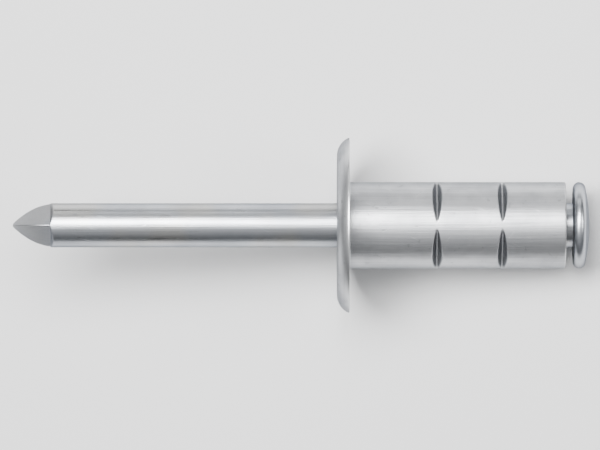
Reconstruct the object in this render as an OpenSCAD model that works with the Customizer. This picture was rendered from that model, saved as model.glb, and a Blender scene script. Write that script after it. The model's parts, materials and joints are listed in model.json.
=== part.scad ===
// Multi-grip blind rivet with a domed flange: a crimped sleeve held on its headed pulling pin.
// The origin is the centre of the flange's underside, and the rivet lies as it comes to rest on a
// level surface, on the rim of its flange and the rim of the pin's head. +X runs towards the pin's head.

/* [Sleeve] */
// Outside diameter of the sleeve
sleeve_d = 4; // [3.8:0.1:4.8]
// Length of the sleeve from the underside of the flange to its free end
sleeve_l = 10; // [9.5:0.5:20]
// Chamfer at the outer corner of the sleeve's free end
sleeve_break = 0.06; // [0.02:0.01:0.12]
// Radial clearance between the bore and the pin
bore_clearance = 0.05; // [0.04:0.01:0.09]
// Chamfer at both ends of the bore
bore_break = 0.1; // [0.04:0.01:0.16]

/* [Flange] */
// Diameter of the flange
flange_d = 8.1; // [7:0.1:12]
// Thickness of the flange at its middle
flange_t = 0.58; // [0.45:0.01:0.8]
// Radius that rounds the flange's outer face into its rim
flange_edge_r = 0.9; // [0.82:0.01:1.2]
// Height of the straight land at the rim, next to the underside
flange_land = 0.05; // [0.02:0.01:0.12]

/* [Crimps] */
// Distance from the underside of the flange to the first row of crimps
crimp_first = 4.04; // [2:0.1:5]
// Distance between the rows of crimps
crimp_pitch = 3.02; // [1.5:0.1:4]
// Rows of crimps along the sleeve
crimp_rows = 2; // [1:1:2]
// Crimps around the sleeve in one row
crimp_count = 4; // [3:1:4]
// Depth of a crimp at its middle
crimp_depth = 0.44; // [0.25:0.01:0.5]
// Width of a crimp at its middle, along the sleeve
crimp_w = 0.48; // [0.35:0.01:0.7]
// Radius of the crimping blade's nose
crimp_nose_r = 0.07; // [0.03:0.01:0.1]
// Gap between the pin and the bumps that the crimps raise in the bore
grip_gap = 0.01; // [0.005:0.005:0.03]
// Radius of those bumps, along the bore
grip_r = 0.35; // [0.2:0.05:0.6]

/* [Pin] */
// Diameter of the pin
pin_d = 2.04; // [1.8:0.02:2.4]
// Length of pin that stands out of the flange
pin_out = 15; // [8:0.5:30]
// Length from the tip to the shoulder where the pinched facets end
point_l = 1.74; // [1:0.02:1.9]
// Length from the tip over which the ridges of the point curve in
ogive_l = 2.04; // [1.95:0.01:3]
// Width across the facets at the very tip
tip_w = 0.1; // [0.04:0.01:0.3]
// Length of the sloped shoulder at the end of the facets
shoulder_l = 0.15; // [0.05:0.01:0.3]

/* [Break notch] */
// Distance from the notch back to the sleeve's free end
notch_inset = 1.3; // [0.8:0.1:2]
// Thickness that is left between the pinched notches
notch_core = 1.3; // [1:0.02:1.5]
// Width of a notch at the pin's surface
notch_w = 0.7; // [0.4:0.02:1]

/* [Pin head] */
// Diameter of the pin's head
head_d = 4; // [3.4:0.1:4.8]
// Thickness of the pin's head at its crown
head_t = 0.77; // [0.7:0.01:1]
// Radius of the head's rounded rim
head_rim_r = 0.29; // [0.2:0.01:0.31]
// Gap between the sleeve's free end and the pin's head
head_gap = 0.34; // [0.1:0.02:0.6]

/* [Hidden] */
$fn = 72;
// Length by which a cutting shape runs past what it cuts
past = 1;
sleeve_r = sleeve_d / 2;
flange_r = flange_d / 2;
pin_r = pin_d / 2;
bore_r = pin_r + bore_clearance;
// The edge arc is tangent to the outer face and meets the rim at the land
flange_edge_z = flange_edge_r - flange_t;
flange_edge_c = flange_r - sqrt(pow(flange_edge_r, 2) - pow(flange_edge_z + flange_land, 2));
// Each crimp is pressed by a straight blade, whose nose reaches this far from the axis
crimp_floor = sleeve_r - crimp_depth;
crimp_turn = 360 / crimp_count;
blade_reach = crimp_depth - crimp_nose_r;
crimp_half_angle = acos(crimp_nose_r / norm([crimp_w / 2, blade_reach])) - atan2(blade_reach, crimp_w / 2);
// The facets' arc is tangent to the pin's own width at the end of the ogive
facet_top = pin_r / sqrt(2);
facet_drop = facet_top - tip_w / 2;
facet_arc_r = (pow(ogive_l, 2) + pow(facet_drop, 2)) / (2 * facet_drop);
facet_shoulder = facet_top - facet_arc_r + sqrt(pow(facet_arc_r, 2) - pow(ogive_l - point_l, 2));
facet_turn = 90;
tip_z = -flange_t - pin_out;
// The notches close in from two opposite sides
notch_z = sleeve_l - notch_inset;
notch_depth = (pin_d - notch_core) / 2;
// The head's crown is a sphere that runs tangent into the rounded rim
head_r = head_d / 2;
head_z = sleeve_l + head_gap;
rim_c = head_r - head_rim_r;
crown_lift = head_t - head_rim_r;
crown_r = (pow(rim_c, 2) + pow(crown_lift, 2) - pow(head_rim_r, 2)) / (2 * (crown_lift - head_rim_r));
crown_z = head_t - crown_r;
// Slope of the line that touches the flange's lower rim and the head's rim
rest_run = head_z + head_rim_r;
rest_drop = flange_r - rim_c;
lie_angle = atan2(rest_drop, rest_run) - asin(head_rim_r / norm([rest_run, rest_drop]));

// Lays the rivet down: its axis, drawn along +Z, turns to +X and dips towards the pin's head
module laid_down() {
    rotate([0, 90 + lie_angle, 0]) children();
}

// A chordal press mark: a straight edge across the axis, its outline drawn as (outward, along the axis)
module pressed_in(reach) {
    rotate([90, 0, 0]) linear_extrude(height = 2 * reach, center = true) children();
}

// Half section of the flange: flat faces, with the outer one rounded into the rim
module flange_section() {
    translate([0, -flange_t]) square([flange_edge_c, flange_t]);
    intersection() {
        translate([flange_edge_c, flange_edge_z]) circle(r = flange_edge_r);
        translate([flange_edge_c, -flange_t - past]) square([flange_r - flange_edge_c, flange_t + past]);
    }
}

// Half section of the sleeve, solid, with the broken corner at its free end
module sleeve_section() {
    polygon([
        [0, -flange_t / 2],
        [sleeve_r, -flange_t / 2],
        [sleeve_r, sleeve_l - sleeve_break],
        [sleeve_r - sleeve_break, sleeve_l],
        [0, sleeve_l],
    ]);
}

// Half section of the bore, opened out at both ends
module bore_section() {
    polygon([
        [0, -flange_t - past],
        [bore_r + bore_break + past, -flange_t - past],
        [bore_r, -flange_t + bore_break],
        [bore_r, sleeve_l - bore_break],
        [bore_r + bore_break + past, sleeve_l + past],
        [0, sleeve_l + past],
    ]);
}

// Outline of the crimping blade: straight flanks and a rounded nose
module blade_outline() {
    nose_x = crimp_floor + crimp_nose_r;
    tangent = crimp_nose_r * [-sin(crimp_half_angle), cos(crimp_half_angle)];
    flank_x = sleeve_r + past;
    flank_z = tangent[1] + (flank_x - nose_x - tangent[0]) * tan(crimp_half_angle);
    translate([nose_x, 0]) circle(r = crimp_nose_r);
    polygon([
        [nose_x + tangent[0], tangent[1]],
        [flank_x, flank_z],
        [flank_x, -flank_z],
        [nose_x + tangent[0], -tangent[1]],
    ]);
}

// Everything that repeats at each crimp of each row
module at_each_crimp() {
    for (row = [0:crimp_rows - 1], turn = [0:crimp_count - 1]) {
        translate([0, 0, crimp_first + row * crimp_pitch]) rotate([0, 0, (turn + 1 / 2) * crimp_turn]) children();
    }
}

// The bore, with the bumps under the crimps left standing
module bore() {
    difference() {
        rotate_extrude() bore_section();
        at_each_crimp() {
            translate([pin_r + grip_gap + grip_r, 0, 0]) rotate([90, 0, 0])
                cylinder(r = grip_r, h = 2 * bore_r, center = true);
        }
    }
}

// The sleeve and its flange, formed as one piece, bored through and crimped onto the pin
module rivet_body() {
    color("gainsboro") laid_down() difference() {
        rotate_extrude() {
            flange_section();
            sleeve_section();
        }
        bore();
        at_each_crimp() pressed_in(sleeve_r) blade_outline();
    }
}

// What the pinching dies take off beside one facet: down to the facet's arc and back to the shoulder
module facet_outline() {
    slope = shoulder_l / (pin_r - facet_shoulder);
    outer = pin_r + past;
    difference() {
        polygon([
            [0, tip_z - past],
            [outer, tip_z - past],
            [outer, tip_z + point_l + (outer - facet_shoulder) * slope],
            [0, tip_z + point_l - facet_shoulder * slope],
        ]);
        translate([facet_top - facet_arc_r, tip_z + ogive_l]) circle(r = facet_arc_r);
    }
}

// Outline of one break notch: a plain V that leaves half of the core
module notch_outline() {
    core = notch_core / 2;
    outer = pin_r + past;
    half = notch_w / 2 * (outer - core) / notch_depth;
    polygon([[core, notch_z], [outer, notch_z + half], [outer, notch_z - half]]);
}

// Half section of the pin's head: flat inner face, round rim and shallow crown
module head_section() {
    rim_angle = atan2(rim_c, head_rim_r - crown_z);
    edge = [sin(rim_angle), cos(rim_angle)] * (crown_r + past) + [0, crown_z];
    translate([0, head_z]) {
        translate([rim_c, head_rim_r]) circle(r = head_rim_r);
        square([rim_c, head_rim_r]);
        intersection() {
            translate([0, crown_z]) circle(r = crown_r);
            polygon([[0, head_rim_r / 2], [rim_c, head_rim_r / 2], [rim_c, head_rim_r], edge, [0, crown_lift + past]]);
        }
    }
}

// The pin, formed from one wire: pinched to a point, notched where it is to break, and headed
module mandrel() {
    color("silver") laid_down() difference() {
        rotate_extrude() {
            translate([0, tip_z]) square([pin_r, head_z + head_rim_r - tip_z]);
            head_section();
        }
        for (turn = [0:3]) {
            rotate([0, 0, (turn + 1 / 2) * facet_turn]) pressed_in(pin_r) facet_outline();
        }
        for (side = [0, 180]) {
            rotate([0, 0, side]) pressed_in(pin_r) notch_outline();
        }
    }
}

rivet_body();
mandrel();
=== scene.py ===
import json
import math

import bmesh
import bpy
import numpy as np
from bpy.props import FloatProperty, FloatVectorProperty, IntProperty, PointerProperty
from bpy.types import Operator, Panel, PropertyGroup
from mathutils import Matrix, Vector


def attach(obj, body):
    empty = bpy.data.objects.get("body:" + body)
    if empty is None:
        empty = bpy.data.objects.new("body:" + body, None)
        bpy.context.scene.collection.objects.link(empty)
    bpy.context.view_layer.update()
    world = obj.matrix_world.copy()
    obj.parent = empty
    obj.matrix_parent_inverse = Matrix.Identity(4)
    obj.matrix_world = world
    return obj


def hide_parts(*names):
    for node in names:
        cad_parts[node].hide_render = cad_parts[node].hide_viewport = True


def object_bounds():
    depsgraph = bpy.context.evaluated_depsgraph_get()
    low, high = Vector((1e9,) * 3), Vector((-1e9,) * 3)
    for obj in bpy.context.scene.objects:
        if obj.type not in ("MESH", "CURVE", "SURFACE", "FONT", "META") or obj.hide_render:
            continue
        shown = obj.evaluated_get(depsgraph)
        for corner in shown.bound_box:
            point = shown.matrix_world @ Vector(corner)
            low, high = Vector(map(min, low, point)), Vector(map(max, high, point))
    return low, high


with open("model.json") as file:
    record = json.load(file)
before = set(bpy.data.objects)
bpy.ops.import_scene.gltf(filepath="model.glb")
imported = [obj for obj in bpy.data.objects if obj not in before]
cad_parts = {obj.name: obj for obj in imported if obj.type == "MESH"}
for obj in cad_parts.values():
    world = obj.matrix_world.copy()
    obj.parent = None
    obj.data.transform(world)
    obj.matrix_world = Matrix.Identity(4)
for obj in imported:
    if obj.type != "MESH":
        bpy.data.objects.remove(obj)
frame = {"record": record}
cad_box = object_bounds()

bl_info = {
    "name": "Blind Rivet",
    "version": (1, 0, 0),
    "blender": (4, 5, 0),
    "location": "3D View > Sidebar > Rivet",
    "description": "Makes a multi-grip blind rivet and the stage that it lies on",
    "category": "Add Mesh",
}

MM = 0.001
MICRON = 0.001 * MM

# For the camera alone: where the drawing has the rivet, in pixels of its 600 by 450 frame
PICTURE_WIDTH_PX = 600
FLANGE_SEAT_PX = 349.4
AXIS_BELOW_MIDDLE_PX = 0.3
SLEEVE_WIDTH_PX = 86.4
SENSOR_WIDTH_MM = 36.0

# Spokes around the axis, steps of each arc in a section, and the crown's last angle in degrees
SLEEVE_SPOKES = 240
PIN_SPOKES = 192
CORNER_STEPS = 5
FLANGE_EDGE_STEPS = 22
HEAD_RIM_STEPS = 20
CROWN_STEPS = 16
CROWN_END = 89

# Steps along the axis: long where a surface is straight, short where it is pressed or pinched
STRAIGHT_STEP = 0.5 * MM
WALL_STEP = 0.25 * MM
CRIMP_STEP = 0.018 * MM
BUMP_STEP = 0.03 * MM
BUMP_REACH = 0.2 * MM
NOTCH_STEP = 0.025 * MM
FACET_STEP = 0.025 * MM
SHOULDER_STEP = 0.01 * MM
TIP_INSET = 0.01 * MM
FLANGE_FACE_SHARES = (0.02, 0.5, 0.9, 0.98)

# Small roundings that no property sets
FLANGE_CORNER_RADIUS = 0.018 * MM
MOUTH_CORNER_RADIUS = 0.03 * MM
SHOULDER_SOFTNESS = 0.03 * MM
FACET_SOFTNESS = 0.02 * MM
NOTCH_SOFTNESS = 0.03 * MM

# How far round the axis a straight blade is followed, in radians, and a flat jaw, as a cosine
BLADE_TURN = 1.2
LEAST_COSINE = 0.05
# Within this many bore radii of the axis, the sleeve's section is its bore
BORE_SIDE = 1.2

# The oxide on both metals dulls what they reflect at a grazing angle
OXIDE_TINT = (0.20, 0.21, 0.23)
SLEEVE_RELIEF = 6.0 * MICRON
PIN_RELIEF = 4.0 * MICRON
# Places of the sockets that the Mix node uses for colours
MIX_SHARE, MIX_FIRST, MIX_SECOND, MIX_RESULT = 0, 6, 7, 2

SHANK = next(mount for mount in frame["record"]["mounts"] if mount["name"] == "shank")
AXIS = Vector(SHANK["axis"]).normalized()
SIDEWAYS = Vector((0.0, 1.0, 0.0))
DOWNWARDS = SIDEWAYS.cross(AXIS)
# Turns a piece that was made upright, with its axis along +Z, to where the rivet lies
LAID_DOWN = Matrix((DOWNWARDS, SIDEWAYS, AXIS)).transposed().to_4x4()
LIE_ANGLE = math.atan2(-AXIS.z, AXIS.x)


def size(name, description, millimetres):
    """A length that a user may change, given here in millimetres."""
    return FloatProperty(
        name=name,
        description=description,
        default=millimetres * MM,
        min=0.0,
        precision=5,
        unit="LENGTH",
    )


def tint(name, description, colour):
    """A colour that a user may change."""
    return FloatVectorProperty(
        name=name,
        description=description,
        default=colour,
        size=3,
        min=0.0,
        max=1.0,
        subtype="COLOR",
    )


class RivetSleeveSizes(PropertyGroup):
    """Sizes of the sleeve, its flange and its crimps"""

    diameter: size("Diameter", "Outside diameter of the sleeve", 2 * SHANK["dims"]["r_mm"])
    length: size(
        "Length", "From the flange's underside to the free end", SHANK["dims"]["length_mm"]
    )
    flange_diameter: size("Flange diameter", "Diameter of the flange", 8.1)
    flange_thickness: size("Flange thickness", "Thickness of the flange at its middle", 0.58)
    flange_edge_radius: size(
        "Flange edge radius", "Radius that rounds the outer face into the rim", 0.9
    )
    flange_land: size("Rim land", "Height of the straight land at the rim", 0.05)
    corner_radius: size("Corner radius", "Rounding of the outer corner at the free end", 0.07)
    root_radius: size("Root radius", "Fillet where the sleeve leaves the flange", 0.05)
    crimp_first: size(
        "First crimps", "From the flange's underside to the first row of crimps", 4.04
    )
    crimp_pitch: size("Crimp pitch", "Distance between the rows of crimps", 3.02)
    crimp_depth: size("Crimp depth", "Depth of a crimp at its middle", 0.44)
    crimp_width: size("Crimp width", "Width of a crimp at its middle", 0.48)
    crimp_nose: size("Blade nose", "Radius of the crimping blade's nose", 0.07)
    crimp_softness: size(
        "Crimp softness", "Distance over which a crimp's edge is drawn in", 0.035
    )
    crimp_rows: IntProperty(
        name="Crimp rows", description="Rows of crimps along the sleeve", default=2, min=0
    )
    crimp_count: IntProperty(
        name="Crimps around", description="Crimps in one row", default=4, min=3
    )
    grip_gap: size(
        "Grip gap", "Gap between the pin and the bumps that the crimps raise in the bore", 0.01
    )
    grip_radius: size("Grip radius", "Radius of those bumps, along the bore", 0.35)
    bore_clearance: size("Bore clearance", "Radial clearance between bore and pin", 0.05)
    bore_break: size("Bore break", "Chamfer at both ends of the bore", 0.1)


class RivetPinSizes(PropertyGroup):
    """Sizes of the pulling pin, its point and its head"""

    diameter: size("Diameter", "Diameter of the pin", 2.04)
    standing_out: size("Standing out", "Length of pin outside the flange", 15.0)
    point_length: size(
        "Point length", "From the tip to the shoulder behind the pinched facets", 1.74
    )
    ogive_length: size("Ogive length", "From the tip to where the ridges would run out", 2.04)
    tip_width: size("Tip width", "Width across the facets at the very tip", 0.1)
    shoulder_length: size("Shoulder length", "Length of the slope behind the facets", 0.15)
    ridge_softness: size(
        "Ridge softness", "Distance over which the ridges are rounded", 0.05
    )
    notch_inset: size("Notch inset", "From the sleeve's free end in to the break notch", 1.3)
    notch_core: size("Notch core", "Thickness left between the pinched notches", 1.3)
    notch_width: size("Notch width", "Width of a notch at the pin's surface", 0.7)
    head_diameter: size("Head diameter", "Diameter of the pin's head", 4.0)
    head_thickness: size("Head thickness", "Thickness of the head at its crown", 0.77)
    head_rim_radius: size("Head rim radius", "Radius of the head's rounded rim", 0.29)
    head_gap: size("Head gap", "From the sleeve's free end to the head", 0.34)
    neck_radius: size("Neck radius", "Fillet between the pin and its head", 0.05)


class RivetFinish(PropertyGroup):
    """Colours of the two metals"""

    sleeve_tint: tint("Sleeve", "Colour of the satin aluminium", (0.64, 0.65, 0.665))
    sleeve_shade: tint("Sleeve shade", "Colour of its duller patches", (0.47, 0.48, 0.50))
    sleeve_edge: tint(
        "Sleeve edges", "Colour where its edges are rubbed bright", (0.80, 0.805, 0.81)
    )
    pin_tint: tint("Pin", "Colour of the bright zinc on the steel", (0.56, 0.58, 0.61))
    pin_shade: tint("Pin shade", "Colour of its duller patches", (0.40, 0.42, 0.46))
    pin_bloom: tint("Pin bloom", "Warm cast that the zinc has in places", (0.60, 0.575, 0.52))


class RivetStage(PropertyGroup):
    """The floor, the lights and the camera"""

    floor_tint: tint("Floor", "Colour of the floor", (0.86, 0.86, 0.86))
    ceiling_tint: tint("Ceiling", "Colour of the light from above", (0.97, 0.98, 1.0))
    wall_tint: tint("Walls", "Colour of the light from level with the floor", (0.12, 0.125, 0.13))
    room_light: FloatProperty(
        name="Room light", description="Strength of the room's light", default=0.42, min=0.0
    )
    floor_radius: FloatProperty(
        name="Floor radius", description="Radius of the floor", default=4.0, min=0.1, unit="LENGTH"
    )
    lens: FloatProperty(
        name="Lens",
        description="Focal length in millimetres; a long one keeps the view parallel",
        default=500.0,
        unit="CAMERA",
    )


def soft_least(first, second, blend):
    """The lesser of two surfaces, run into one another over the blend."""
    overlap = np.clip(1 - np.abs(first - second) / blend, 0, 1)
    return np.minimum(first, second) - overlap**2 * blend / 4


def soft_greatest(first, second, blend):
    """The greater of two surfaces, run into one another over the blend."""
    return -soft_least(-first, -second, blend)


def arc(centre, radius, start, end, steps):
    """Points on a circle between two angles in degrees, counted from the outward direction."""
    outward, along = centre
    turns = np.radians(np.linspace(start, end, steps + 1))
    return [(outward + radius * math.cos(t), along + radius * math.sin(t)) for t in turns]


def rounded(corners, steps=CORNER_STEPS):
    """A path through corners, each (outward, along, radius). A corner with a radius is turned in
    steps, with one more point on each side that keeps the straight stretches flat."""
    path = [corners[0][:2]]
    for before, corner, after in zip(corners, corners[1:], corners[2:]):
        here = Vector(corner[:2])
        radius = corner[2]
        if radius == 0:
            path.append(corner[:2])
            continue
        arriving = (here - Vector(before[:2])).normalized()
        leaving = (Vector(after[:2]) - here).normalized()
        turn = math.atan2(arriving.cross(leaving), arriving.dot(leaving))
        reach = radius * math.tan(abs(turn) / 2)
        start = here - arriving * reach
        centre = start + Vector((-arriving.y, arriving.x)) * math.copysign(radius, turn)
        path.append(start - arriving * reach / 2)
        for step in range(steps + 1):
            path.append(centre + Matrix.Rotation(turn * step / steps, 2) @ (start - centre))
        path.append(here + leaving * reach * 1.5)
    path.append(corners[-1][:2])
    return [tuple(point) for point in path]


def places_along(start, end, marks, reach, fine, coarse):
    """Places from start to end: fine steps within reach of each mark, coarse ones between."""
    bounds = [start, *[mark + side for mark in marks for side in (-reach, reach)], end]
    places = []
    for stretch, (low, high) in enumerate(zip(bounds, bounds[1:])):
        step = fine if stretch % 2 else coarse
        places += list(np.linspace(low, high, math.ceil((high - low) / step), endpoint=False))
    return [*places, end]


def turned_mesh(name, section, spokes, shape, poles=None):
    """Turns a section of (outward, along) points about +Z and lays it where the rivet lies.

    shape(outward, along, angle) gives the true distance from the axis. Without poles the section
    closes on itself; with them, each end of it closes on a point of the axis."""
    outward, along = (column[:, None] for column in np.array(section).T)
    angle = (np.arange(spokes) * (2 * math.pi / spokes))[None, :]
    reach = shape(outward, along, angle)
    height = np.broadcast_to(along, reach.shape)
    points = np.stack([reach * np.cos(angle), reach * np.sin(angle), height], axis=-1)
    points = points.reshape(-1, 3).tolist()
    rows = len(section)
    bands = rows - 1 if poles else rows
    faces = []
    for row in range(bands):
        low = row * spokes
        high = (row + 1) % rows * spokes
        for spoke in range(spokes):
            beside = (spoke + 1) % spokes
            faces.append((low + spoke, low + beside, high + beside, high + spoke))
    for pole, row in zip(poles or (), (0, rows - 1)):
        points.append((0.0, 0.0, pole))
        low = row * spokes
        for spoke in range(spokes):
            faces.append((len(points) - 1, low + spoke, low + (spoke + 1) % spokes))
    mesh = bpy.data.meshes.new(name)
    mesh.from_pydata(points, [], faces)
    mesh.transform(LAID_DOWN)
    work = bmesh.new()
    work.from_mesh(mesh)
    bmesh.ops.recalc_face_normals(work, faces=work.faces)
    work.to_mesh(mesh)
    work.free()
    mesh.shade_smooth()
    return mesh


def add_piece(mesh, node, material):
    """Puts a finished mesh in the scene in place of its plain CAD node."""
    piece = bpy.data.objects.new(mesh.name, mesh)
    bpy.context.scene.collection.objects.link(piece)
    mesh.materials.append(material)
    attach(piece, "root")
    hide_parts(node)


def sleeve_section(sleeve, bore_radius):
    """Closed section of the sleeve and flange, from the flange's outer face round to the bore."""
    radius = sleeve.diameter / 2
    rim = sleeve.flange_diameter / 2
    mouth = bore_radius + sleeve.bore_break
    outer_face = -sleeve.flange_thickness
    edge_height = sleeve.flange_edge_radius + outer_face
    drop = edge_height + sleeve.flange_land
    edge_middle = rim - math.sqrt(sleeve.flange_edge_radius**2 - drop**2)
    edge_end = -math.degrees(math.asin(drop / sleeve.flange_edge_radius))
    edge = arc(
        (edge_middle, edge_height), sleeve.flange_edge_radius, -90, edge_end, FLANGE_EDGE_STEPS
    )
    flange_face = [mouth + (edge_middle - mouth) * share for share in FLANGE_FACE_SHARES]
    crimps = [sleeve.crimp_first + row * sleeve.crimp_pitch for row in range(sleeve.crimp_rows)]
    wall_start = 2 * sleeve.root_radius
    wall_end = sleeve.length - 2 * sleeve.corner_radius
    crimp_reach = 0.75 * sleeve.crimp_width
    wall = places_along(wall_start, wall_end, crimps, crimp_reach, CRIMP_STEP, WALL_STEP)
    bore_end = sleeve.length - sleeve.bore_break
    bore_start = outer_face + sleeve.bore_break
    bore = places_along(bore_start, bore_end, crimps, BUMP_REACH, BUMP_STEP, STRAIGHT_STEP)
    corners = [
        (mouth, outer_face, 0),
        *[(place, outer_face, 0) for place in flange_face],
        *[(*spot, 0) for spot in edge],
        (rim, 0.0, FLANGE_CORNER_RADIUS),
        (radius, 0.0, sleeve.root_radius),
        *[(radius, place, 0) for place in wall],
        (radius, sleeve.length, sleeve.corner_radius),
        (mouth, sleeve.length, MOUTH_CORNER_RADIUS),
        (bore_radius, bore_end, 0),
        *[(bore_radius, place, 0) for place in reversed(bore[1:-1])],
        (bore_radius, bore_start, 0),
    ]
    return rounded(corners)


def crimped(sleeve, pin_radius, bore_radius):
    """The sleeve's true surface: a straight blade presses each crimp into it, which raises a bump
    in the bore underneath."""
    nose_radius = sleeve.crimp_nose
    grip_radius = sleeve.grip_radius
    blade_reach = sleeve.crimp_depth - nose_radius
    half_width = sleeve.crimp_width / 2
    opening = math.acos(nose_radius / math.hypot(half_width, blade_reach))
    flank = opening - math.atan2(blade_reach, half_width)
    nose_middle = sleeve.diameter / 2 - blade_reach
    nose_end = nose_radius * math.cos(flank)

    def surface(outward, along, angle):
        between = 2 * math.pi / sleeve.crimp_count
        off_middle = (angle % between) - between / 2
        slant = np.cos(np.clip(off_middle, -BLADE_TURN, BLADE_TURN))
        in_wall = outward > BORE_SIDE * bore_radius
        reach = outward + 0 * angle
        for row in range(sleeve.crimp_rows):
            beside = np.abs(along - sleeve.crimp_first - row * sleeve.crimp_pitch)
            round_nose = np.maximum(nose_radius**2 - np.minimum(beside, nose_end) ** 2, 0)
            nose = nose_middle - np.sqrt(round_nose)
            blade = (nose + np.maximum(beside - nose_end, 0) / math.tan(flank)) / slant
            pressed = soft_least(reach, blade, sleeve.crimp_softness)
            sunk = np.sqrt(np.maximum(grip_radius**2 - np.minimum(beside, grip_radius) ** 2, 0))
            bump = (pin_radius + sleeve.grip_gap + grip_radius - sunk) / slant
            raised = np.where(beside < grip_radius, np.minimum(reach, bump), reach)
            reach = np.where(in_wall, pressed, raised)
        return reach

    return surface


def pin_section(pin, sleeve):
    """Open section of the pin, from just inside its tip to just short of the crown's middle, and
    the places of both on the axis."""
    radius = pin.diameter / 2
    tip = -sleeve.flange_thickness - pin.standing_out
    shoulder = tip + pin.point_length
    notch = sleeve.length - pin.notch_inset
    face = sleeve.length + pin.head_gap
    rim_radius = pin.head_rim_radius
    rim_middle = pin.head_diameter / 2 - rim_radius
    lift = pin.head_thickness - rim_radius
    crown_radius = (rim_middle**2 + lift**2 - rim_radius**2) / (2 * (lift - rim_radius))
    crown_middle = face + pin.head_thickness - crown_radius
    lean = math.degrees(math.atan2(face + rim_radius - crown_middle, rim_middle))
    rim = arc((rim_middle, face + rim_radius), rim_radius, -90, lean, HEAD_RIM_STEPS)
    crown = arc((0.0, crown_middle), crown_radius, lean, CROWN_END, CROWN_STEPS)[1:]
    step_middle = shoulder + pin.shoulder_length / 2
    step_reach = 1.5 * pin.shoulder_length
    step_end = step_middle + step_reach
    point = places_along(
        tip + TIP_INSET, step_end, [step_middle], step_reach, SHOULDER_STEP, FACET_STEP
    )
    shank_end = face - 2 * pin.neck_radius
    notch_reach = 0.75 * pin.notch_width
    shank = places_along(step_end, shank_end, [notch], notch_reach, NOTCH_STEP, STRAIGHT_STEP)
    # Next to the rim, one more point keeps the head's inner face flat
    flat_end = rim_middle * 0.98
    corners = [
        (radius, tip, 0),
        *[(radius, place, 0) for place in point + shank[1:]],
        (radius, face, pin.neck_radius),
        (flat_end, face, 0),
        *[(*spot, 0) for spot in rim + crown],
    ]
    return rounded(corners), (tip, face + pin.head_thickness)


def pinched(pin, sleeve):
    """The pin's true surface: four pinched facets at the point, and two notches where it is to
    break."""
    radius = pin.diameter / 2
    tip = -sleeve.flange_thickness - pin.standing_out
    facet_top = radius / math.sqrt(2)
    facet_drop = facet_top - pin.tip_width / 2
    facet_radius = (pin.ogive_length**2 + facet_drop**2) / (2 * facet_drop)
    run_out = pin.ogive_length - pin.point_length
    facet_end = facet_top - facet_radius + math.sqrt(facet_radius**2 - run_out**2)
    point_reach = pin.point_length + 4 * pin.shoulder_length
    notch = sleeve.length - pin.notch_inset
    notch_depth = (pin.diameter - pin.notch_core) / 2

    def surface(outward, along, angle):
        from_tip = along - tip
        curve = np.sqrt(np.maximum(facet_radius**2 - (pin.ogive_length - from_tip) ** 2, 0))
        facet = facet_top - facet_radius + curve
        up_shoulder = (from_tip - pin.point_length) / pin.shoulder_length
        shoulder = facet_end + up_shoulder * (radius - facet_end)
        stepped = soft_greatest(facet, shoulder, SHOULDER_SOFTNESS)
        flat = np.where(from_tip > pin.ogive_length, shoulder, stepped)
        first = flat / np.maximum(np.abs(np.cos(angle - math.pi / 4)), LEAST_COSINE)
        second = flat / np.maximum(np.abs(np.sin(angle - math.pi / 4)), LEAST_COSINE)
        # The ridges sharpen towards the tip
        softness = np.clip(from_tip / (6 * pin.ridge_softness), 0.2, 1) * pin.ridge_softness
        pointed = soft_least(soft_least(first, second, softness), outward, FACET_SOFTNESS)
        reach = np.where(from_tip < point_reach, pointed, outward)
        from_notch = np.abs(along - notch)
        groove = pin.notch_core / 2 + from_notch * (2 * notch_depth / pin.notch_width)
        across_notch = groove / np.maximum(np.abs(np.cos(angle)), LEAST_COSINE)
        notched = soft_least(across_notch, reach, NOTCH_SOFTNESS)
        return np.where(from_notch < pin.notch_width, notched, reach)

    return surface


class Wire:
    """An output socket that takes part in Python expressions. Each operator adds the node that
    works it out."""

    def __init__(self, sheet, socket):
        self.sheet = sheet
        self.socket = socket

    def __add__(self, other):
        return self.sheet.maths("ADD", self, other)

    __radd__ = __add__

    def __sub__(self, other):
        return self.sheet.maths("SUBTRACT", self, other)

    def __rsub__(self, other):
        return self.sheet.maths("SUBTRACT", other, self)

    def __mul__(self, other):
        return self.sheet.maths("MULTIPLY", self, other)

    __rmul__ = __mul__

    def __pow__(self, other):
        return self.sheet.maths("POWER", self, other)


def is_vector(part):
    """Whether a part of an expression is a vector: three numbers, or a vector's socket."""
    return isinstance(part, tuple) or (isinstance(part, Wire) and part.socket.type == "VECTOR")


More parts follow.
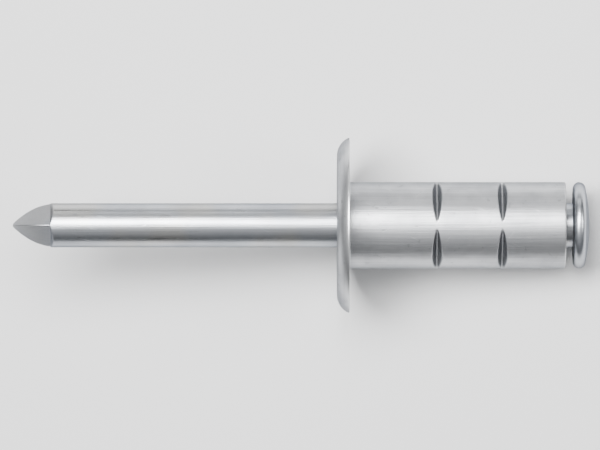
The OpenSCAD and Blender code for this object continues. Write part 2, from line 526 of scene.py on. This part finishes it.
class Sheet:
    """The node sheet of one material or of the world, with the rivet's own coordinates at hand."""

    def __init__(self, tree):
        self.tree = tree
        self.tree.nodes.clear()

    def add(self, kind, settings=None, sockets=None, output=0):
        """Adds one node: its settings first, then the values or links of its sockets."""
        node = self.tree.nodes.new(kind)
        column, row = len(self.tree.nodes) % 12, len(self.tree.nodes) // 12
        node.location = (200 * column, -220 * row)
        for name, value in (settings or {}).items():
            setattr(node, name, value)
        for name, value in (sockets or {}).items():
            if isinstance(value, Wire):
                self.tree.links.new(value.socket, node.inputs[name])
            else:
                node.inputs[name].default_value = value
        return Wire(self, node.outputs[output]) if len(node.outputs) else None

    def maths(self, operation, *parts):
        """A Math node, or a Vector Math node where a vector takes part."""
        settings = {"operation": operation}
        if not any(is_vector(part) for part in parts):
            return self.add("ShaderNodeMath", settings, dict(enumerate(parts)))
        spread = [(part,) * 3 if isinstance(part, (int, float)) else part for part in parts]
        return self.add("ShaderNodeVectorMath", settings, dict(enumerate(spread)))

    def blend(self, first, second, share):
        """A colour between two colours."""
        first, second = (c if isinstance(c, Wire) else (*c, 1.0) for c in (first, second))
        sockets = {MIX_SHARE: share, MIX_FIRST: first, MIX_SECOND: second}
        return self.add("ShaderNodeMix", {"data_type": "RGBA"}, sockets, output=MIX_RESULT)

    def fade(self, value, low, high):
        """0 below low, 1 above high and a smooth step between; low may be the greater one."""
        sockets = {"Value": value, "From Min": low, "From Max": high}
        return self.add("ShaderNodeMapRange", {"interpolation_type": "SMOOTHSTEP"}, sockets)

    def noise(self, place, scale=1.0, detail=3.0):
        """Soft noise between 0 and 1, with its scale in grains a millimetre."""
        sockets = {"Vector": place, "Scale": scale, "Detail": detail}
        return self.add("ShaderNodeTexNoise", None, sockets)

    def join(self, first, second):
        """A place in a flat pattern, from its two numbers."""
        return self.add("ShaderNodeCombineXYZ", None, {0: first, 1: second})

    def split(self, place):
        """The three numbers of a place."""
        node = self.add("ShaderNodeSeparateXYZ", None, {0: place}).socket.node
        return [Wire(self, output) for output in node.outputs]

    def rivet_place(self):
        """The place on the rivet in millimetres, upright: x and y across, z along the axis."""
        lying = self.add("ShaderNodeTexCoord", output="Object")
        settings = {"rotation_type": "Y_AXIS"}
        sockets = {"Vector": lying, "Angle": -(math.pi / 2 + LIE_ANGLE)}
        return self.add("ShaderNodeVectorRotate", settings, sockets) * (1 / MM)

    def around(self, across_x, across_y, radius):
        """How far round a wall a place is, in millimetres from its upper side."""
        return self.maths("ARCTAN2", across_y, across_x * -1) * radius

    def rings(self, outward, along):
        """Faint circles about the axis, between 0 and 1, as turned forming tools leave them."""
        return self.noise(self.join(outward, along), scale=7.0)

    def scratches(self, first, second, angle, density):
        """Thin straight scratches, between 0 and 1, on a surface that two directions span. They
        lean from the second direction by an angle, and come in patches."""
        across = first * math.cos(angle) + second * math.sin(angle)
        lengthwise = second * math.cos(angle) - first * math.sin(angle)
        lines = self.noise(self.join(across * 14.0, lengthwise * 0.5), detail=2.0)
        patches = self.noise(self.join(first, second), scale=0.9, detail=1.0)
        return self.fade(lines, 0.68 - 0.04 * density, 0.74) * self.fade(patches, 0.44, 0.60)

    def surface(self, sockets, height, relief, strength=1.0):
        """Ends a material with its shader, on which a height stands out by the relief."""
        bump = {"Strength": strength, "Distance": relief, "Height": height}
        normal = self.add("ShaderNodeBump", None, bump)
        shader = self.add("ShaderNodeBsdfPrincipled", None, {**sockets, "Normal": normal})
        self.add("ShaderNodeOutputMaterial", None, {"Surface": shader})

    def metal(self, colour, roughness, height, relief):
        """Ends a material as bare metal under a thin oxide."""
        sockets = {
            "Base Color": colour,
            "Metallic": 1.0,
            "Roughness": roughness,
            "Specular Tint": (*OXIDE_TINT, 1.0),
        }
        self.surface(sockets, height, relief)


def new_material(name):
    """A new material with its empty node sheet."""
    material = bpy.data.materials.new(name)
    material.use_nodes = True
    return material, Sheet(material.node_tree)


def satin_aluminium(finish, sleeve):
    """Cold-formed aluminium, tumbled to a satin sheen: draw lines along the wall, the forming
    tools' circles on the faces, small nicks and scratches, and edges that are rubbed bright."""
    material, sheet = new_material("satin_aluminium")
    place = sheet.rivet_place()
    across_x, across_y, along = sheet.split(place)
    outward = (across_x * across_x + across_y * across_y) ** 0.5

    # Where on the sleeve a place is, from 0 to 1. All these lengths are in millimetres.
    radius = sleeve.diameter / 2 / MM
    rim = sleeve.flange_diameter / 2 / MM
    end = sleeve.length / MM
    on_wall = sheet.fade(along, 0.0, 0.06) * sheet.fade(along, end, end - 0.04)
    on_faces = 1 - on_wall
    # The crimps' hollows and the bore, whose colour is darkened below as painted shade
    in_crimp = sheet.fade(outward, radius - 0.02, radius - 0.12) * on_wall
    rim_edge = sheet.fade(outward, rim - 0.12, rim)
    near_end = sheet.fade(along, end - 0.1, end - 0.02)
    end_edge = near_end * sheet.fade(outward, radius - 0.12, radius - 0.04)
    bright = rim_edge + end_edge

    # What the metal has there, from 0 to 1
    clouds = sheet.noise(place, scale=0.8)
    grain = sheet.noise(place, scale=16.0)
    drawn = sheet.noise(place * (11.0, 11.0, 0.22))
    lines = drawn * on_wall + sheet.rings(outward, along) * on_faces
    nicks = sheet.fade(sheet.noise(place, scale=3.2, detail=2.0), 0.66, 0.74)
    around = sheet.around(across_x, across_y, radius)
    slanting = sheet.scratches(around, along, angle=0.5, density=1.0)
    crossing = sheet.scratches(around, along, angle=-0.9, density=0.6)
    on_face = sheet.scratches(across_x, across_y, angle=0.7, density=0.8)
    scratched = (slanting + crossing) * on_wall + on_face * on_faces

    dull = sheet.fade(clouds * 0.6 + lines * 0.4, 0.34, 0.66)
    body = sheet.blend(finish.sleeve_tint, finish.sleeve_shade, dull * 0.95)
    dark = tuple(0.55 * part for part in finish.sleeve_shade)
    # Darker at the nicks, which are real marks, and in the crimps' hollows and the bore, where the
    # darkening is painted shade
    marked_and_shaded = sheet.blend(body, dark, in_crimp * 0.35 + nicks * 0.35)
    colour = sheet.blend(marked_and_shaded, finish.sleeve_edge, bright * 0.6 + scratched * 0.4)
    texture = 0.21 + 0.18 * clouds + 0.18 * lines + 0.05 * grain
    roughness = texture - 0.08 * bright - 0.06 * in_crimp
    height = 1.3 * lines + 0.35 * grain + 0.8 * clouds - 0.5 * nicks - 0.4 * scratched
    sheet.metal(colour, roughness, height, SLEEVE_RELIEF)
    return material


def bright_zinc(finish, pin, sleeve):
    """Steel wire under bright zinc: lengthwise draw lines, a blue and warm bloom, facets dulled by
    the pinching jaws, and the upsetting tool's circles on the head's crown."""
    material, sheet = new_material("bright_zinc_on_steel")
    place = sheet.rivet_place()
    across_x, across_y, along = sheet.split(place)
    outward = (across_x * across_x + across_y * across_y) ** 0.5

    # Where on the pin a place is, from 0 to 1. All these lengths are in millimetres.
    radius = pin.diameter / 2 / MM
    head_edge = pin.head_diameter / 2 / MM
    tip = -(sleeve.flange_thickness + pin.standing_out) / MM
    shoulder = tip + pin.point_length / MM
    face = (sleeve.length + pin.head_gap) / MM
    at_point = sheet.fade(along, shoulder + 0.12, shoulder + 0.02)
    on_head = sheet.fade(along, face - 0.05, face + 0.02)
    on_shank = 1 - at_point - on_head
    on_crown = on_head * sheet.fade(outward, head_edge - 0.15, head_edge - 0.45)
    worn = sheet.fade(outward, radius - 0.06, radius) * at_point

    # What the metal has there, from 0 to 1
    clouds = sheet.noise(place, scale=0.55)
    bloom = sheet.noise(place + (7.0, 3.0, 1.0), scale=0.35, detail=2.0)
    grain = sheet.noise(place, scale=20.0, detail=2.0)
    drawn = sheet.noise(place * (16.0, 16.0, 0.18), detail=4.0)
    pressed = sheet.noise(place * (3.0, 3.0, 15.0))
    rings = sheet.rings(outward, along)
    lines = drawn * on_shank + pressed * at_point + rings * on_crown
    nicks = sheet.fade(sheet.noise(place + (1.0, 9.0, 4.0), scale=2.6, detail=2.0), 0.67, 0.74)
    around = sheet.around(across_x, across_y, radius)
    scratched = sheet.scratches(around, along, angle=0.35, density=1.2) * on_shank

    dull = sheet.fade(clouds * 0.6 + drawn * 0.4, 0.36, 0.66)
    body = sheet.blend(finish.pin_tint, finish.pin_shade, dull * 0.8)
    bloomed = sheet.blend(body, finish.pin_bloom, sheet.fade(bloom, 0.48, 0.66) * 0.45)
    dull_facets = at_point * (0.25 + 0.3 * pressed)
    dull_crown = on_crown * sheet.fade(rings, 0.42, 0.60) * 0.6
    colour = sheet.blend(bloomed, finish.pin_shade, dull_facets + dull_crown + nicks * 0.3)
    texture = 0.16 + 0.14 * clouds + 0.16 * lines
    roughness = texture + 0.08 * (at_point + on_head) - 0.06 * worn
    height = 1.5 * lines + 0.25 * grain + 0.4 * clouds - 0.5 * nicks - 0.5 * scratched
    sheet.metal(colour, roughness, height, PIN_RELIEF)
    return material


def pale_floor(stage):
    """A matt floor with a barely visible tooth."""
    material, sheet = new_material("pale_floor")
    place = sheet.add("ShaderNodeTexCoord", output="Object")
    tooth = sheet.noise(place, scale=900.0, detail=2.0)
    sockets = {
        "Base Color": (*stage.floor_tint, 1.0),
        "Roughness": 0.7,
        "Specular IOR Level": 0.2,
    }
    sheet.surface(sockets, tooth, 20 * MICRON, strength=0.1)
    return material


def studio_world(stage):
    """A studio whose ceiling is pale and whose walls fall off to dark, which draws the edges of
    bright metal."""
    world = bpy.data.worlds.new("studio")
    world.use_nodes = True
    sheet = Sheet(world.node_tree)
    height = sheet.split(sheet.add("ShaderNodeTexCoord", output="Generated"))[2]
    up_the_walls = sheet.fade(height, 0.15, 0.85)
    colour = sheet.blend(stage.wall_tint, stage.ceiling_tint, up_the_walls)
    sockets = {"Color": colour, "Strength": stage.room_light}
    background = sheet.add("ShaderNodeBackground", None, sockets)
    sheet.add("ShaderNodeOutputWorld", None, {"Surface": background})
    bpy.context.scene.world = world


def add_softbox(name, away, distance, width, height, watts):
    """A soft area light that looks at the middle of the rivet from a direction."""
    lamp = bpy.data.lights.new(name, "AREA")
    lamp.shape = "RECTANGLE"
    lamp.size = width
    lamp.size_y = height
    lamp.energy = watts
    light = bpy.data.objects.new(name, lamp)
    light.visible_camera = False
    towards = Vector(away).normalized()
    light.location = towards * distance
    light.rotation_euler = towards.to_track_quat("Z", "Y").to_euler()
    bpy.context.scene.collection.objects.link(light)


def add_camera(stage, sleeve):
    """A camera that looks square on to the axis from above, framed as the drawing is."""
    px = sleeve.diameter / SLEEVE_WIDTH_PX
    camera_data = bpy.data.cameras.new("camera")
    camera_data.sensor_width = SENSOR_WIDTH_MM
    camera_data.lens = stage.lens
    distance = PICTURE_WIDTH_PX * px * camera_data.lens / camera_data.sensor_width
    along_axis = AXIS * (PICTURE_WIDTH_PX / 2 - FLANGE_SEAT_PX) * px
    middle = along_axis + SIDEWAYS * AXIS_BELOW_MIDDLE_PX * px
    camera = bpy.data.objects.new("camera", camera_data)
    facing = Matrix((AXIS, SIDEWAYS, -DOWNWARDS)).transposed().to_4x4()
    camera.matrix_world = Matrix.Translation(middle - DOWNWARDS * distance) @ facing
    camera_data.clip_start = distance / 100
    camera_data.clip_end = distance * 20
    bpy.context.scene.collection.objects.link(camera)
    bpy.context.scene.camera = camera


class RIVET_OT_make_sleeve(Operator):
    """Make the crimped sleeve with its flange"""

    bl_idname = "rivet.make_sleeve"
    bl_label = "Make Sleeve"

    def execute(self, context):
        sleeve = context.scene.rivet_sleeve
        pin_radius = context.scene.rivet_pin.diameter / 2
        bore_radius = pin_radius + sleeve.bore_clearance
        section = sleeve_section(sleeve, bore_radius)
        shape = crimped(sleeve, pin_radius, bore_radius)
        mesh = turned_mesh("crimped_sleeve", section, SLEEVE_SPOKES, shape)
        metal = satin_aluminium(context.scene.rivet_finish, sleeve)
        add_piece(mesh, "rivet_body", metal)
        return {"FINISHED"}


class RIVET_OT_make_pin(Operator):
    """Make the pulling pin with its point and head"""

    bl_idname = "rivet.make_pin"
    bl_label = "Make Pin"

    def execute(self, context):
        sleeve = context.scene.rivet_sleeve
        pin = context.scene.rivet_pin
        section, poles = pin_section(pin, sleeve)
        mesh = turned_mesh("pulling_pin", section, PIN_SPOKES, pinched(pin, sleeve), poles)
        metal = bright_zinc(context.scene.rivet_finish, pin, sleeve)
        add_piece(mesh, "mandrel", metal)
        return {"FINISHED"}


class RIVET_OT_set_stage(Operator):
    """Set the floor, the lights and the camera"""

    bl_idname = "rivet.set_stage"
    bl_label = "Set Stage"

    def execute(self, context):
        stage = context.scene.rivet_stage
        mesh = bpy.data.meshes.new("floor")
        work = bmesh.new()
        bmesh.ops.create_circle(work, cap_ends=True, segments=64, radius=stage.floor_radius)
        work.to_mesh(mesh)
        work.free()
        floor = bpy.data.objects.new("floor", mesh)
        floor.location.z = cad_box[0].z
        mesh.materials.append(pale_floor(stage))
        context.scene.collection.objects.link(floor)
        studio_world(stage)
        add_softbox(
            "overhead_softbox",
            away=(-0.12, 0.24, 1.0),
            distance=0.13,
            width=0.10,
            height=0.06,
            watts=0.43,
        )
        add_softbox(
            "end_softbox",
            away=(1.0, 0.15, 0.75),
            distance=0.13,
            width=0.05,
            height=0.04,
            watts=0.06,
        )
        add_softbox(
            "side_strip",
            away=(-0.1, 1.0, 0.36),
            distance=0.16,
            width=0.18,
            height=0.025,
            watts=0.04,
        )
        add_camera(stage, context.scene.rivet_sleeve)
        return {"FINISHED"}


class RIVET_PT_panel(Panel):
    """The rivet's sizes, finish and stage"""

    bl_idname = "RIVET_PT_panel"
    bl_label = "Blind Rivet"
    bl_space_type = "VIEW_3D"
    bl_region_type = "UI"
    bl_category = "Rivet"

    def draw(self, context):
        for group, operators in PANEL_ROWS:
            box = self.layout.box()
            settings = getattr(context.scene, group)
            for name in settings.__annotations__:
                box.prop(settings, name)
            for operator in operators:
                box.operator(operator)


PANEL_ROWS = (
    ("rivet_sleeve", ("rivet.make_sleeve",)),
    ("rivet_pin", ("rivet.make_pin",)),
    ("rivet_finish", ()),
    ("rivet_stage", ("rivet.set_stage",)),
)
GROUPS = {
    "rivet_sleeve": RivetSleeveSizes,
    "rivet_pin": RivetPinSizes,
    "rivet_finish": RivetFinish,
    "rivet_stage": RivetStage,
}
CLASSES = (
    *GROUPS.values(),
    RIVET_OT_make_sleeve,
    RIVET_OT_make_pin,
    RIVET_OT_set_stage,
    RIVET_PT_panel,
)


def register():
    """Registers the classes and gives each scene its settings."""
    for cls in CLASSES:
        bpy.utils.register_class(cls)
    for name, group in GROUPS.items():
        setattr(bpy.types.Scene, name, PointerProperty(type=group))


def unregister():
    """Takes back what register gives."""
    for name in GROUPS:
        delattr(bpy.types.Scene, name)
    for cls in reversed(CLASSES):
        bpy.utils.unregister_class(cls)


def main():
    """Makes the rivet and its stage."""
    register()
    bpy.ops.rivet.make_sleeve()
    bpy.ops.rivet.make_pin()
    bpy.ops.rivet.set_stage()


if __name__ == "__main__":
    main()
